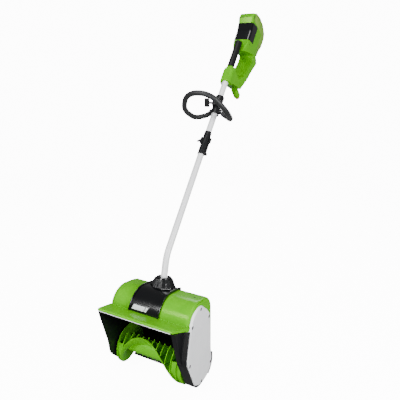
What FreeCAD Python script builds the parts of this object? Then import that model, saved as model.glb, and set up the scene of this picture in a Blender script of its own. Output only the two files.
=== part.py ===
"""Cordless power snow shovel: rotor head, two-piece shaft, loop handle and rear power unit.

Millimetres, +Z up, +Y towards the user, +X towards the belt-drive side.
The origin is the middle of the scraper's bottom edge, on the ground, in the working position.
"""
import FreeCAD
import Part
import math
import os

V = FreeCAD.Vector

# ---- head: widths along X ------------------------------------------------------------
clear_width = 300.0        # inside width of the chute
wall = 4.0                 # chute side walls
skin = 3.5                 # wall of the green housing
seat = 0.3                 # clearance between parts that only rest on each other
run_gap = 0.05             # radial clearance of a shaft or pin in its hole
case_depth = 17.0          # drive case, along X
cover_thick = 17.0         # drive cover, along X
cover_bevel = 5.0          # how far the cover's flat face lies inside its outline
rim = 4.5                  # how far the drive case stands out round the cover

# ---- head: rotor and chute, in the YZ plane ------------------------------------------
rotor_y = -45.0
rotor_z = 95.0
rotor_r = 79.0
rotor_side_gap = 7.0      # between the rotor's end discs and the side walls
tip_gap = 9.0              # between the paddle tips and the chute
chute_wall = 3.0
chute_bottom_angle = -54.0  # where the curved back wall ends, degrees from +Y
lip_y = -203.0             # front edge of the visor
lip_z = 327.0
lip_thick = 8.0
scraper_thick = 4.0
scraper_length = 52.0

# ---- head: outlines, as circles that a tight band runs round (y, z, radius) ----------
foot = (-26.0, 95.0, 90.0)
crown_rear = (-13.0, 294.0, 66.0)
crown_front = (-60.0, 290.0, 80.0)
cheek = (-95.0, 190.0, 70.0)
housing_band = [foot, crown_rear, crown_front, cheek]
chin = (-100.0, 130.0, 56.0)   # fuller front edge of the left side wall
cover_foot = (-30.0, 96.0, 81.0)
cover_heel = (1.0, 66.0, 50.0)  # squarer rear corner of the cover's foot
cover_rear = (-34.0, 262.0, 63.0)
cover_front = (-70.0, 297.0, 61.0)
cover_cheek = (-90.0, 190.0, 65.0)
cover_band = [cover_foot, cover_heel, cover_rear, cover_front, cover_cheek]
split_rear_z = 76.0        # the green housing reaches down to here behind
dome_left_round = 28.0     # rounding of the housing's ends
dome_right_round = 13.0

# ---- rotor ---------------------------------------------------------------------------
shaft_r = 7.0
hub_r = 30.0
paddle_thick = 4.5
disc_thick = 3.0
rib_count = 11
rib_thick = 2.6
rib_back_angle = 70.0
apex_x = -38.0             # where the arched paddle reaches furthest forward
apex_angle = 60.0
paddle_drop = 150.0        # degrees from the apex down to the paddle's ends
web_r = 71.0               # filled pockets between the paddle's ends and the end discs
web_angle = 30.0
web_left_x = -110.0
web_right_x = 98.0
web_steps = 6
bearing_r = 16.0
bearing_wide = 9.0

# ---- belt drive ----------------------------------------------------------------------
motor_y = -45.0
motor_z = 280.0
motor_r = 36.0
motor_long = 88.0
motor_shaft_r = 5.0
small_pulley_r = 15.0
large_pulley_r = 45.0
belt_thick = 4.0
belt_wide = 10.0

# ---- motor cover, lamp and shaft socket ----------------------------------------------
saddle_half = 63.0         # half width of the black saddle over the dome
saddle_thick = 5.5
saddle_border = 3.0
saddle_rear_y = 26.0
socket_base_r = 47.0
socket_top_r = 32.0
socket_high = 38.0
socket_ring_high = 5.0
socket_notches = 8

# ---- shaft ---------------------------------------------------------------------------
tube_r = 13.0
tube_wall = 1.5
stub_lean = 13.6           # degrees back from vertical
shaft_lean = 39.35
bend_y = 24.0
bend_z = 478.0
bend_radius = 130.0
socket_foot = 124.0        # from the bend down the stub to the socket's base
stub_depth = 52.0          # how far the stub reaches below the socket's base
coupler_low = 449.0        # all of these are measured up the shaft from the bend
coupler_high = 559.0
coupler_r = 15.6
coupler_knob_a = 517.0
lower_tube_top = 500.0
tube_joint_gap = 1.0
upper_tube_top = 900.0

# ---- loop handle, in shaft space: n is behind the shaft's axis, a is up along it -------
foam_r = 11.0
loop_core_r = 6.0
foam_start = 26.0          # the foam begins here, either side of the shaft
loop_half_width = 100.0
loop_reach = 183.0         # how far the loop stands in front of the shaft
loop_drop = 65.0           # how far the loop's sides lie below its pivot, down the shaft
pivot_n = 4.0
pivot_a = 670.0
clamp_r = 19.0
clamp_long = 92.0
bolt_up = 26.0              # the clamp's cross bolt above the loop's pivot
bolt_n = -24.0
bolt_r = 3.0
ear_half = 13.0

# ---- power unit ----------------------------------------------------------------------
unit_half = 38.0           # half thickness of the body
grip_r = 16.0
grip_low = 912.0
grip_high = 1062.0
core_r = 11.0              # the shells' core inside the grip sleeve
lobe_r = 25.0
edge_round = 9.0
shoulder_low = 1030.0      # the head's sides slope in below the panel, down to this height
shoulder_half = 26.0       # half width there, beside the grip
shoulder_widen = 0.22      # how fast it widens up the shaft
shoulder_fade = 0.05       # and towards the back
opening_flat = 14.0         # half width of the opening's narrow middle
opening_inset = 7.0
panel_thick = 1.6
bay_front = 14.0           # front wall of the battery bay
bay_back = 131.0           # where the bay's floor drops behind the head
bay_low = 1210.0           # height of the bay's floor at its front wall
bay_slope = 0.27
trigger_half = 4.6
trigger_low = 934.0
trigger_pivot_n = 3.0
trigger_pivot_a = 990.0
lock_n = 50.0
lock_a = 1093.0
lock_r = 7.0
pod_r = 16.0
pod_x = 6.0
pod_a = 868.0
pod_end = 146.0
pod_button_r = 10.5
pod_button_out = 15.0
screw_r = 3.6
screw_inset = 11.0          # cover screws, from the cover's outline


# ---------------------------------------------------------------------------- helpers --
def export(shapes, name):
    """Write one node: a single solid, or a group of separate solids."""
    shape = shapes if not isinstance(shapes, list) else Part.makeCompound(shapes)
    shape.exportStep("parts/" + name + ".step")


def box(x0, x1, y0, y1, z0, z1):
    return Part.makeBox(x1 - x0, y1 - y0, z1 - z0, V(x0, y0, z0))


def rod(start, direction, radius, length):
    return Part.makeCylinder(radius, length, start, direction)


def rod_x(x0, x1, y, z, radius):
    return rod(V(x0, y, z), V(1, 0, 0), radius, x1 - x0)


def ring_x(x0, x1, y, z, outer, inner):
    return rod_x(x0, x1, y, z, outer).cut(rod_x(x0 - 1, x1 + 1, y, z, inner))


def solid_of(shape):
    """The one solid of a boolean result, with merged faces."""
    shape = shape.removeSplitter()
    return max(shape.Solids, key=lambda one: one.Volume)


def rounded(points, x=0.0):
    """Closed outline in a plane of constant X: points are (y, z) or (y, z, corner radius)."""
    count = len(points)
    starts = []
    ends = []
    mids = []
    for i in range(count):
        here = V(x, points[i][0], points[i][1])
        radius = points[i][2] if len(points[i]) > 2 else 0.0
        before = V(x, points[i - 1][0], points[i - 1][1]) - here
        after = V(x, points[(i + 1) % count][0], points[(i + 1) % count][1]) - here
        before.normalize()
        after.normalize()
        half = before.getAngle(after) / 2.0
        if radius <= 0.0 or half > math.pi / 2 - 1e-4:
            starts.append(here)
            ends.append(here)
            mids.append(None)
            continue
        trim = radius / math.tan(half)
        bisector = before + after
        bisector.normalize()
        starts.append(here + before * trim)
        ends.append(here + after * trim)
        mids.append(here + bisector * (radius / math.sin(half) - radius))
    edges = []
    for i in range(count):
        if mids[i] is not None:
            edges.append(Part.Arc(starts[i], mids[i], ends[i]).toShape())
        nxt = starts[(i + 1) % count]
        if ends[i].distanceToPoint(nxt) > 1e-6:
            edges.append(Part.LineSegment(ends[i], nxt).toShape())
    return Part.Wire(edges)


def band(circles, grow=0.0, x=0.0):
    """Outline of a tight band round circles (y, z, r), given anticlockwise, grown outwards."""
    count = len(circles)
    normals = []
    for i in range(count):
        ya, za, ra = circles[i]
        yb, zb, rb = circles[(i + 1) % count]
        span = math.hypot(yb - ya, zb - za)
        uy = (yb - ya) / span
        uz = (zb - za) / span
        c = (ra - rb) / span
        s = math.sqrt(1.0 - c * c)
        normals.append((c * uy + s * uz, c * uz - s * uy))
    edges = []
    for i in range(count):
        y, z, r = circles[i]
        r += grow
        first = normals[i - 1]
        last = normals[i]
        a0 = math.atan2(first[1], first[0])
        a1 = math.atan2(last[1], last[0])
        while a1 < a0:
            a1 += 2 * math.pi
        arc = [V(x, y + r * math.cos(a), z + r * math.sin(a)) for a in (a0, (a0 + a1) / 2, a1)]
        edges.append(Part.Arc(arc[0], arc[1], arc[2]).toShape())
        yb, zb, rb = circles[(i + 1) % count]
        nxt = V(x, yb + (rb + grow) * last[0], zb + (rb + grow) * last[1])
        edges.append(Part.LineSegment(arc[2], nxt).toShape())
    return Part.Wire(edges)


def slab(wire, x0, x1):
    """A flat outline at X = 0 carried from x0 to x1."""
    face = Part.Face(wire)
    face.translate(V(x0, 0, 0))
    return face.extrude(V(x1 - x0, 0, 0))


def band_slab(circles, grow, x0, x1):
    return slab(band(circles, grow), x0, x1)


def rounded_slab(circles, grow, x0, x1, round0, round1):
    """A band slab whose two end rims are rounded."""
    solid = band_slab(circles, grow, x0, x1)
    for place, radius in ((x0, round0), (x1, round1)):
        if radius > 0:
            rims = [e for e in solid.Edges if abs(e.BoundBox.XMin - place) < 1e-4
                    and abs(e.BoundBox.XMax - place) < 1e-4]
            solid = solid.makeFillet(radius, rims)
    return solid


def run_with_bends(points, radii):
    """An open path of straight runs joined by tangent arcs at its inner points."""
    edges = []
    here = points[0]
    for i in range(1, len(points) - 1):
        corner = points[i]
        before = points[i - 1] - corner
        after = points[i + 1] - corner
        before.normalize()
        after.normalize()
        half = before.getAngle(after) / 2.0
        trim = radii[i - 1] / math.tan(half)
        bisector = before + after
        bisector.normalize()
        a = corner + before * trim
        b = corner + after * trim
        middle = corner + bisector * (radii[i - 1] / math.sin(half) - radii[i - 1])
        edges.append(Part.LineSegment(here, a).toShape())
        edges.append(Part.Arc(a, middle, b).toShape())
        here = b
    edges.append(Part.LineSegment(here, points[-1]).toShape())
    return edges


def round_bar(edges, radius):
    """A round bar along edges that follow each other tangentially: a cylinder or part ring each."""
    bars = []
    for edge in edges:
        start = edge.valueAt(edge.FirstParameter)
        along = edge.tangentAt(edge.FirstParameter)
        disc = Part.Face(Part.Wire([Part.makeCircle(radius, start, along)]))
        if hasattr(edge.Curve, "Center"):
            middle = edge.Curve.Center
            axis = (start - middle).cross(along)
            bars.append(disc.revolve(middle, axis, math.degrees(edge.LastParameter - edge.FirstParameter)))
        else:
            bars.append(disc.extrude(along * edge.Length))
    return bars[0].multiFuse(bars[1:])


def direction_yz(lean):
    """Unit vector that leans back from vertical by this many degrees."""
    return V(0, math.sin(math.radians(lean)), math.cos(math.radians(lean)))


bend = V(0, bend_y, bend_z)
stub_dir = direction_yz(stub_lean)
shaft_dir = direction_yz(shaft_lean)
shaft_place = FreeCAD.Placement(bend, FreeCAD.Rotation(V(1, 0, 0), -shaft_lean))
socket_place = FreeCAD.Placement(bend - stub_dir * socket_foot, FreeCAD.Rotation(V(1, 0, 0), -stub_lean))


def on_shaft(shape):
    """Shapes drawn with z up the shaft from the bend and y behind it, put in their place."""
    moved = shape.copy()
    moved.Placement = shaft_place.multiply(moved.Placement)
    return moved


def on_stub(shape):
    """Shapes drawn with z up the stub from the socket's base, put in their place."""
    moved = shape.copy()
    moved.Placement = socket_place.multiply(moved.Placement)
    return moved


# ---------------------------------------------------------------------- derived sizes --
half_width = clear_width / 2.0
wall_out = half_width + wall
case_x0 = wall_out + seat
case_x1 = case_x0 + case_depth
cover_x1 = case_x1 + cover_thick
house_x0 = -wall_out - seat - skin
house_x1 = case_x0 + 28.0
rim_x1 = cover_x1 - 2.5
chute_r = rotor_r + tip_gap
rotor_half = half_width - rotor_side_gap
lip_back_y = crown_front[0] - crown_front[2] + 3.0
lip_back_z = lip_z - 14.0
pulley_x0 = case_x0 + 6.5
rotor_centre = V(0, rotor_y, rotor_z)
bolt_a = pivot_a + bolt_up


def at_rotor(angle, radius, x=0.0):
    """A point round the rotor's axis; the angle is measured from +Y towards +Z."""
    a = math.radians(angle)
    return V(x, rotor_y + radius * math.cos(a), rotor_z + radius * math.sin(a))


def tangent_angle(y, z, radius, side):
    """Angle at which a line from (y, z) touches a circle round the rotor's axis."""
    far = math.hypot(y - rotor_y, z - rotor_z)
    towards = math.degrees(math.atan2(z - rotor_z, y - rotor_y))
    return towards + side * math.degrees(math.acos(radius / far))


# ------------------------------------------------------------------------------- head --
def below_split():
    """Everything in front of and below the line where the green housing ends."""
    return slab(rounded([(-400, lip_back_z - 14), (lip_back_y + 4, lip_back_z - 14),
                         (foot[0] + 30, split_rear_z), (200, split_rear_z), (200, -200),
                         (-400, -200)]), -400, 400)


ceiling_end = (lip_y + 14.0, lip_z - 13.0)
ceiling_angle = tangent_angle(ceiling_end[0], ceiling_end[1], chute_r, -1)
scraper_angle = tangent_angle(-2.0, 0.0, chute_r + chute_wall, 1)


def make_chute():
    """Curved back wall and sloping ceiling, with the front beam and the scraper's seat."""
    inner0 = at_rotor(chute_bottom_angle, chute_r)
    inner_mid = at_rotor((chute_bottom_angle + ceiling_angle) / 2, chute_r)
    inner1 = at_rotor(ceiling_angle, chute_r)
    end_in = V(0, ceiling_end[0], ceiling_end[1])
    out = at_rotor(ceiling_angle, chute_wall) - rotor_centre
    outer_touch = at_rotor(scraper_angle, chute_r + chute_wall)
    outer_mid = at_rotor((scraper_angle + ceiling_angle) / 2, chute_r + chute_wall)
    down = V(0, -2.0, 0) - outer_touch
    down.normalize()
    seat_end = outer_touch + down * (scraper_length - 16.0)
    wire = Part.Wire([
        Part.Arc(inner0, inner_mid, inner1).toShape(),
        Part.LineSegment(inner1, end_in).toShape(),
        Part.LineSegment(end_in, end_in + out).toShape(),
        Part.LineSegment(end_in + out, inner1 + out).toShape(),
        Part.Arc(inner1 + out, outer_mid, outer_touch).toShape(),
        Part.LineSegment(outer_touch, seat_end).toShape(),
        Part.LineSegment(seat_end, inner0).toShape(),
    ])
    sheet = slab(wire, -half_width, half_width)
    beam = slab(rounded([(lip_y + 5, lip_z - 13.5), (lip_y + 22, lip_z - 21), (lip_y + 22, lip_z - 9.5),
                         (lip_y + 5, lip_z - 5.5)]), -half_width, half_width)
    sheet = sheet.fuse(beam)
    slope = end_in - inner1
    slope.normalize()
    lift = V(out).normalize()
    for x in (-120.0, -72.0, -24.0, 140.0):
        foot_low = inner1 + lift * (chute_wall - 0.5) + slope * 20
        foot_high = inner1 + lift * (chute_wall - 0.5) + slope * 170
        rib = Part.Face(Part.makePolygon([foot_low, foot_high, foot_low + lift * 16, foot_low]))
        rib.translate(V(x, 0, 0))
        sheet = sheet.fuse(rib.extrude(V(2.5, 0, 0)))
    sheet = sheet.cut(make_housing())
    for hole in scraper_holes(2.2):
        sheet = sheet.cut(hole)
    return solid_of(sheet)


def front_wedge(x0, x1):
    """The part of a side wall that stands forward under the visor."""
    y_cheek = cheek[0] - cheek[2] + skin
    return slab(rounded([(lip_y + 3, lip_z - 6.5), (lip_y + 6, lip_z - 24, 6), (y_cheek, cheek[1] - 12, 60),
                         (y_cheek + 60, 110), (cheek[0] + 20, 250), (lip_back_y + 8, lip_back_z - 12)]), x0, x1)


def make_side_wall(side):
    inner_x = half_width if side > 0 else -wall_out
    outline = [foot, crown_rear, crown_front, cheek] + ([chin] if side < 0 else [])
    plate = band_slab(outline, -skin - seat, inner_x, inner_x + wall).common(below_split())
    plate = plate.fuse(band_slab(housing_band, -dome_left_round - 2, inner_x, inner_x + wall))
    plate = plate.fuse(front_wedge(inner_x, inner_x + wall))
    boss_out = 7.0
    if side > 0:
        plate = plate.fuse(front_wedge(inner_x, inner_x + 16.0).cut(
            band_slab(cover_band, rim, case_x0 - seat, wall_out + 40)).cut(
            band_slab(housing_band, -skin - seat - 12, wall_out, wall_out + 40)))
        plate = plate.fuse(rod_x(wall_out - 1, pulley_x0 - 0.8, rotor_y, rotor_z, bearing_r + 4))
        plate = plate.cut(rod_x(half_width - 1, wall_out + 1, motor_y, motor_z, motor_shaft_r + 6))
        bore = rod_x(half_width + 1.2, half_width + 40, rotor_y, rotor_z, bearing_r)
        clear = rod_x(half_width - 1, half_width + 3, rotor_y, rotor_z, shaft_r + 2.5)
    else:
        plate = plate.fuse(rod_x(-wall_out - boss_out, -wall_out + 1, rotor_y, rotor_z, bearing_r + 4))
        for k in range(6):
            rib = box(-wall_out - boss_out + 1, -wall_out + 1, -1.2, 1.2, bearing_r + 2, bearing_r + 30)
            rib.rotate(V(0, 0, 0), V(1, 0, 0), 60 * k + 30)
            rib.translate(rotor_centre)
            plate = plate.fuse(rib)
        bore = rod_x(-half_width - 40, -half_width - 1.2, rotor_y, rotor_z, bearing_r)
        clear = rod_x(-half_width - 3, -half_width + 1, rotor_y, rotor_z, shaft_r + 2.5)
    return solid_of(plate.cut(bore).cut(clear).cut(make_housing()))


def scraper_line():
    """Foot of the blade's back face, its direction up the blade and its outward normal."""
    touch = at_rotor(scraper_angle, chute_r + chute_wall + seat)
    direction = touch - V(0, -2.0, 0)
    direction.normalize()
    return V(0, -2 + scraper_thick / direction.z, 0), direction, V(0, -direction.z, direction.y)


def scraper_holes(radius):
    """Screw shanks through the blade and the chute's foot."""
    foot_point, direction, normal = scraper_line()
    back = foot_point + direction * (scraper_length - 24)
    return [rod(back + V((k - 1.5) * 88.0, 0, 0) - normal * (seat + 0.1), normal, radius, scraper_thick + 4.0)
            for k in range(4)]


def make_scraper():
    """Steel blade whose flat bottom edge rests on the ground at the origin."""
    foot_point, direction, normal = scraper_line()
    top = scraper_length * direction.z
    lean = V(0, direction.y / direction.z * top, top)
    front = V(0, -2, 0)
    blade = slab(Part.makePolygon([front, foot_point, foot_point + lean, front + lean, front]),
                 -half_width + 1, half_width - 1)
    screws = []
    back = foot_point + direction * (scraper_length - 24)
    for k, shank in enumerate(scraper_holes(2.1)):
        centre = back + V((k - 1.5) * 88.0, 0, 0)
        blade = blade.cut(rod(centre - normal * 5, normal, 2.4, 30))
        screws.append(rod(centre - normal * (2.6 + seat), normal, 4.6, 2.6).fuse(shank))
    return solid_of(blade), screws


def cover_window():
    """Room for the drive cover in the housing's end."""
    return band_slab(cover_band, seat + 0.2, case_x0, house_x1 + 5)


def make_visor():
    """The thin lip over the intake, cut back towards the drive side."""
    profile = rounded([(lip_back_y + 8, lip_back_z + 0.5), (lip_y + 3, lip_z + 5.5, 2.5), (lip_y - 1, lip_z + 1.5, 1.5),
                       (lip_y, lip_z - 3, 1.5), (lip_y + 5, lip_z - 5.2), (lip_back_y + 8, lip_back_z - 11)])
    visor = slab(profile, -half_width - 2, house_x1)
    corner = Part.Face(Part.makePolygon([V(half_width + 2, lip_y - 5, 0), V(house_x1 + 1, lip_back_y + 2, 0),
                                         V(house_x1 + 60, lip_y - 5, 0), V(half_width + 2, lip_y - 5, 0)]))
    corner.translate(V(0, 0, 200))
    return visor.cut(corner.extrude(V(0, 0, 300))).cut(cover_window())


def saddle_window(grow, low_trim=0.0):
    """The space that the black saddle takes over the dome, between its two borders."""
    block = band_slab(housing_band, grow, -saddle_half, saddle_half)
    keep = slab(rounded([(-300, lip_back_z + 5 + low_trim), (lip_back_y + 30, lip_back_z + 5 + low_trim),
                         (saddle_rear_y, crown_rear[1] - 10), (saddle_rear_y, 600), (-300, 600)]), -200, 200)
    return block.common(keep)


def make_housing():
    """Green upper housing: domed shell with rounded ends, a visor and a drop at the back."""
    outer = rounded_slab(housing_band, 0.0, house_x0, house_x1, dome_left_round, dome_right_round)
    inner = rounded_slab(housing_band, -skin, house_x0 + skin, house_x1 - skin,
                         dome_left_round - skin, 0)
    shell = outer.cut(inner)
    shell = shell.cut(cover_window())
    shell = shell.cut(below_split())
    shell = shell.fuse(make_visor())
    shell = shell.cut(inner).cut(socket_envelope())
    return solid_of(shell)


def make_saddle():
    """Gloss black saddle over the dome, with raised borders and the socket's pedestal."""
    cover = saddle_window(saddle_thick).cut(band_slab(housing_band, seat, -300, 300))
    for x in (-saddle_half, saddle_half - 5.0):
        border = saddle_window(saddle_thick + saddle_border).common(box(x, x + 5.0, -300, 300, 0, 600))
        cover = cover.fuse(border.cut(band_slab(housing_band, saddle_thick - 1, -300, 300)))
    pedestal = on_stub(Part.makeCone(socket_base_r + 16, socket_base_r + 3, 44, V(0, 0, -44)))
    pedestal = pedestal.cut(band_slab(housing_band, seat, -300, 300))
    cover = cover.fuse(pedestal)
    cover = cover.cut(socket_envelope())
    cover = cover.cut(lamp_space(seat))
    return solid_of(cover)


def lamp_space(gap):
    """Trapezoid window at the saddle's lower front edge."""
    outline = [V(-54 - gap, -300, lip_back_z + 11 - gap), V(12 + gap, -300, lip_back_z + 11 - gap),
               V(20 + gap, -300, lip_back_z + 29 + gap), V(-48 - gap, -300, lip_back_z + 29 + gap)]
    face = Part.Face(Part.makePolygon(outline + [outline[0]]))
    window = face.extrude(V(0, 190, 0))
    return window


def make_lamp():
    """Clear lens flush in the saddle and the pale board behind it."""
    lens = lamp_space(0).common(band_slab(housing_band, saddle_thick + 0.8, -300, 300))
    lens = lens.cut(band_slab(housing_band, saddle_thick - 2.2, -300, 300))
    board = lamp_space(-2.0).common(band_slab(housing_band, seat + 1.6, -300, 300))
    board = board.cut(band_slab(housing_band, seat, -300, 300))
    return solid_of(lens), solid_of(board)


def octagon(radius, z):
    """Eight-sided outline whose flats lie at this radius."""
    corner = radius / math.cos(math.radians(22.5))
    pts = [V(corner * math.cos(math.radians(22.5 + 45 * k)), corner * math.sin(math.radians(22.5 + 45 * k)), z)
           for k in range(8)]
    return Part.makePolygon(pts + [pts[0]])


def socket_envelope():
    """The socket's outside and its sleeve below, with a little room round them."""
    base = Part.Face(octagon(socket_base_r + seat, 0)).extrude(V(0, 0, socket_high))
    return on_stub(base.fuse(Part.makeCylinder(tube_r + 6.5 + seat, stub_depth + 20, V(0, 0, -stub_depth - 1))))


def make_socket():
    """Faceted flared socket that grips the stub, with a notched collar on top."""
    body = Part.makeLoft([octagon(socket_base_r, 0), octagon(socket_base_r - 1.5, 8),
                          octagon(socket_top_r, socket_high)], True, True)
    collar = Part.makeCone(socket_top_r - 1.5, socket_top_r - 4, socket_ring_high + 1, V(0, 0, socket_high - 1))
    collar = collar.cut(Part.makeCylinder(tube_r + 5, 20, V(0, 0, socket_high + 1)))
    for k in range(socket_notches):
        notch = box(tube_r + 3, socket_top_r + 4, -3.4, 3.4, socket_high + 1, socket_high + 20)
        notch.rotate(V(0, 0, 0), V(0, 0, 1), 360.0 * k / socket_notches)
        collar = collar.cut(notch)
    body = body.fuse(collar)
    body = body.fuse(Part.makeCylinder(tube_r + 6.5, stub_depth + 1, V(0, 0, -stub_depth)))
    body = body.cut(Part.makeCylinder(tube_r + seat, stub_depth + 200, V(0, 0, -stub_depth + 3)))
    for k in range(8):
        groove = box(socket_base_r - 9, socket_base_r + 20, -1.0, 1.0, 7, socket_high - 7)
        groove.rotate(V(0, 0, 0), V(0, 0, 1), 45.0 * k)
        groove = groove.common(Part.makeCone(socket_base_r + 6, socket_top_r + 6, socket_high))
        body = body.cut(groove.cut(Part.makeCone(socket_base_r - 2.2, socket_top_r - 2.2, socket_high)))
    return on_stub(solid_of(body))


# ------------------------------------------------------------------------------ rotor --
def paddle_angle(x):
    """Angle of the paddle's edge at x: an arch with its apex forward and its ends below.

    Measured from -Y (forward) towards +Z.  Each side falls from the apex along
    drop * (1 - (1 - u^p)^q), with u the share of the way to the rotor's end.
    """
    if x < apex_x:
        u = (apex_x - x) / (apex_x + rotor_half - disc_thick)
        fall = 1 - (1 - min(u, 1.0) ** 2.6) ** 0.5
    else:
        u = (x - apex_x) / (rotor_half - disc_thick - apex_x)
        fall = 1 - (1 - min(u, 1.0) ** 1.6) ** 0.6
    return apex_angle - paddle_drop * fall


def paddle_stations():
    """X places along the rotor, closer together where the paddle turns steeply."""
    left = apex_x + rotor_half - disc_thick
    right = rotor_half - disc_thick - apex_x
    steps = 6
    xs = [apex_x - left * math.sin(math.pi / 2 * k / steps) for k in range(steps, 0, -1)]
    xs += [apex_x + right * math.sin(math.pi / 2 * k / steps) for k in range(steps + 1)]
    return xs


def paddle_curve(radius, shift):
    """The curve that a paddle's face follows at one radius, moved back by shift in mm."""
    pts = []
    for x in paddle_stations():
        a = math.radians(180 - paddle_angle(x)) - shift / radius
        pts.append(V(x, rotor_y + radius * math.cos(a), rotor_z + radius * math.sin(a)))
    curve = Part.BSplineCurve()
    curve.interpolate(pts)
    return curve.toShape()


def make_paddle(turn):
    """An arched helical paddle: ruled faces between the hub and the tip circle."""
    inner_r = hub_r + 0.1
    front_in = paddle_curve(inner_r, -paddle_thick / 2)
    front_out = paddle_curve(rotor_r, -paddle_thick / 2)
    back_in = paddle_curve(inner_r, paddle_thick / 2)
    back_out = paddle_curve(rotor_r, paddle_thick / 2)
    faces = [Part.makeRuledSurface(front_in, front_out), Part.makeRuledSurface(back_in, back_out),
             Part.makeRuledSurface(front_in, back_in), Part.makeRuledSurface(front_out, back_out)]
    for end in (0, -1):
        corners = [edge.Vertexes[end].Point for edge in (front_in, front_out, back_out, back_in)]
        faces.append(Part.Face(Part.makePolygon(corners + [corners[0]])))
    shell = Part.makeShell(faces)
    shell.sewShape()
    paddle = Part.makeSolid(shell)
    if paddle.Volume < 0:
        paddle.reverse()
    paddle.rotate(rotor_centre, V(1, 0, 0), turn)
    return paddle


def sector(x, thick, radius, start, end):
    """A flat disc sector round the rotor's axis; angles from -Y (forward) towards +Z."""
    arc = [V(x, rotor_y - radius * math.cos(math.radians(a)), rotor_z + radius * math.sin(math.radians(a)))
           for a in (start, (start + end) / 2, end)]
    middle = V(x, rotor_y, rotor_z)
    wire = Part.Wire([Part.LineSegment(middle, arc[0]).toShape(), Part.Arc(*arc).toShape(),
                      Part.LineSegment(arc[2], middle).toShape()])
    return Part.Face(wire).extrude(V(thick, 0, 0))


def make_rotor():
    """Hub, end discs and, behind each paddle, a row of ribs that fill out to the tip circle."""
    hub = rod_x(-rotor_half, rotor_half, rotor_y, rotor_z, hub_r)
    for x in (-rotor_half, rotor_half - disc_thick):
        hub = hub.fuse(rod_x(x, x + disc_thick, rotor_y, rotor_z, rotor_r - 1))
    pitch = (2 * rotor_half) / (rib_count + 1)
    pieces = []
    for k in range(rib_count):
        x = -rotor_half + pitch * (k + 1)
        pieces.append(sector(x, rib_thick, rotor_r - 1, paddle_angle(x) + 0.5, rib_back_angle))
    for x0, x1 in ((-rotor_half + disc_thick, web_left_x), (web_right_x, rotor_half - disc_thick)):
        step = (x1 - x0) / web_steps
        for k in range(web_steps):
            x = x0 + step * k
            lowest = max(paddle_angle(x), paddle_angle(x + step)) + 0.7
            pieces.append(sector(x, step, web_r, lowest, web_angle))
    half = pieces[0].multiFuse(pieces[1:])
    for turn in (0, 180):
        copy = half.copy()
        copy.rotate(rotor_centre, V(1, 0, 0), turn)
        hub = hub.fuse(copy)
    hub = hub.cut(rod_x(-rotor_half - 1, rotor_half + 1, rotor_y, rotor_z, shaft_r + 0.02))
    paddles = [make_paddle(0), make_paddle(180)]
    for paddle in paddles:
        hub = hub.cut(paddle)
    return solid_of(hub), paddles


def make_rotor_shaft():
    shaft = rod_x(-half_width - 12, pulley_x0 + 17, rotor_y, rotor_z, shaft_r)
    nut = Part.makePolygon([V(pulley_x0 + 13.2, rotor_y + 10 * math.cos(math.radians(60 * k)),
                              rotor_z + 10 * math.sin(math.radians(60 * k))) for k in range(7)])
    nut = Part.Face(nut).extrude(V(5, 0, 0)).cut(rod_x(pulley_x0, pulley_x0 + 30, rotor_y, rotor_z, shaft_r + 0.02))
    return shaft, nut


def make_bearing(x0):
    """Ball bearing: outer race, inner race and a closed ring between them."""
    x1 = x0 + bearing_wide
    race = ring_x(x0, x1, rotor_y, rotor_z, bearing_r - 0.02, shaft_r + run_gap)
    for x in (x0 - 1, x1 - 0.8):
        race = race.cut(ring_x(x, x + 1.8, rotor_y, rotor_z, bearing_r - 3, shaft_r + 3))
    return solid_of(race)


def make_pulley(y, z, radius, bore, x0):
    """Ribbed belt pulley with two flanges."""
    body = rod_x(x0, x0 + belt_wide + 3, y, z, radius + 2.2)
    body = body.cut(ring_x(x0 + 1.4, x0 + belt_wide + 1.6, y, z, radius + 10, radius))
    if radius > 30:
        body = body.cut(ring_x(x0 + 5, x0 + 20, y, z, radius - 5, bore + 7))
        for k in range(5):
            rib = box(x0 + 2, x0 + belt_wide + 2, -1.5, 1.5, bore + 5, radius - 4)
            rib.rotate(V(0, 0, 0), V(1, 0, 0), 72 * k)
            rib.translate(V(0, y, z))
            body = body.fuse(rib)
    return solid_of(body.cut(rod_x(x0 - 1, x0 + 20, y, z, bore)))


def make_belt():
    wheels = [(rotor_y, rotor_z, large_pulley_r), (motor_y, motor_z, small_pulley_r)]
    x0 = pulley_x0 + 1.4 + 0.1
    return solid_of(band_slab(wheels, belt_thick, x0, x0 + belt_wide).cut(
        band_slab(wheels, seat, x0 - 1, x0 + belt_wide + 1)))


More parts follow.
